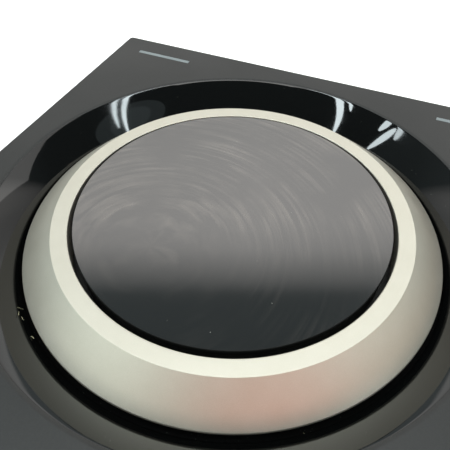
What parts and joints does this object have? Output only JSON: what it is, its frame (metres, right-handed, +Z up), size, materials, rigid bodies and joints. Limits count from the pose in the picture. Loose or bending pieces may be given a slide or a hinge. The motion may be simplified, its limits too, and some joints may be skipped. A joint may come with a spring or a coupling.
{
  "type": "desktop rotary control dial",
  "caption": "Square black desktop dial box: a satin aluminium ring turns around a fixed black glass touch disc, set in a glossy dish, with audio and data sockets.",
  "frame": {"origin": "on the table under the middle of the case, on the ring's axis", "axes": "+Z up along the ring's axis, +Y towards the rear wall with the data socket, +X to the right seen from the front"},
  "size_m": [0.096, 0.096, 0.027],
  "materials": {
    "matte_black_case": "fine moulded texture",
    "gloss_black_dish": "polished",
    "satin_aluminium": "bead-blasted and clear anodised",
    "black_glass": "polished, black-printed underneath",
    "inner_black_plastic": "plain moulded",
    "white_acetal": "natural, slippery",
    "foot_rubber": "matte",
    "black_felt": "felted",
    "milky_light_plastic": "translucent white",
    "circuit_board": "solder mask",
    "chip_epoxy": "moulded epoxy",
    "ferrite": "pressed",
    "can_aluminium": "drawn can",
    "zinc_steel": "zinc plated",
    "black_steel": "black oxide",
    "spring_steel": "nickel plated wire",
    "contact_bronze": "gold flashed",
    "shield_steel": "tin plated",
    "zinc_diecast": "die-cast",
    "lamp_epoxy": "phosphor filled",
    "ribbon_polyester": "laminated strip",
    "adhesive_tape": "foam tape",
    "printed_label": "blank, laminated"
  },
  "bodies": {
    "housing": {"base_label": "printed_label", "bearing_tower": "inner_black_plastic", "board_screws": "zinc_steel", "bottom_case": "matte_black_case", "case_screws": "black_steel", "corner_leds": "lamp_epoxy", "damping_felt": "black_felt", "dish_bezel": "gloss_black_dish", "display_board": "circuit_board", "display_leds": "lamp_epoxy", "display_pedestal": "inner_black_plastic", "display_ribbon": "ribbon_polyester", "encoder_body": "zinc_diecast", "encoder_wafer": "inner_black_plastic", "foot_front_left": "foot_rubber", "foot_front_right": "foot_rubber", "foot_rear_left": "foot_rubber", "foot_rear_right": "foot_rubber", "glass_adhesive": "adhesive_tape", "jack_contacts": "contact_bronze", "jack_headphone": "inner_black_plastic", "jack_line_out": "inner_black_plastic", "jack_microphone": "inner_black_plastic", "light_cell_frame": "white_acetal", "light_pipe_front_left": "milky_light_plastic", "light_pipe_front_right": "milky_light_plastic", "light_pipe_rear_left": "milky_light_plastic", "light_pipe_rear_right": "milky_light_plastic", "lower_glide_washer": "white_acetal", "main_board": "circuit_board", "main_board_capacitors": "can_aluminium", "main_board_chips": "chip_epoxy", "main_board_inductors": "ferrite", "pedestal_screws": "zinc_steel", "ribbon_connector_lower": "white_acetal", "ribbon_connector_upper": "white_acetal", "top_case": "matte_black_case", "touch_glass": "black_glass", "touch_spring_front_left": "spring_steel", "touch_spring_front_right": "spring_steel", "touch_spring_rear_left": "spring_steel", "touch_spring_rear_right": "spring_steel", "tower_screws": "black_steel", "upper_glide_washer": "white_acetal", "usb_shell": "shield_steel", "usb_tongue": "inner_black_plastic"},
    "ring": {"control_ring": "satin_aluminium", "ring_carrier": "inner_black_plastic", "ring_screws": "zinc_steel"},
    "pinion": {"encoder_shaft": "white_acetal", "encoder_pinion": "white_acetal"}
  },
  "joints": [
    {"name": "ring_turn", "type": "hinge", "parent": "housing", "child": "ring", "pos_m": [0, 0, 0.0215], "axis": [0, 0, 1], "continuous": true},
    {"name": "pinion_spin", "type": "hinge", "parent": "housing", "child": "pinion", "pos_m": [0.02546, -0.02546, 0.0152], "axis": [0, 0, 1], "continuous": true}
  ],
  "couplings": [
    {"joint": "pinion_spin", "follows": "ring_turn", "ratio": -4}
  ]
}
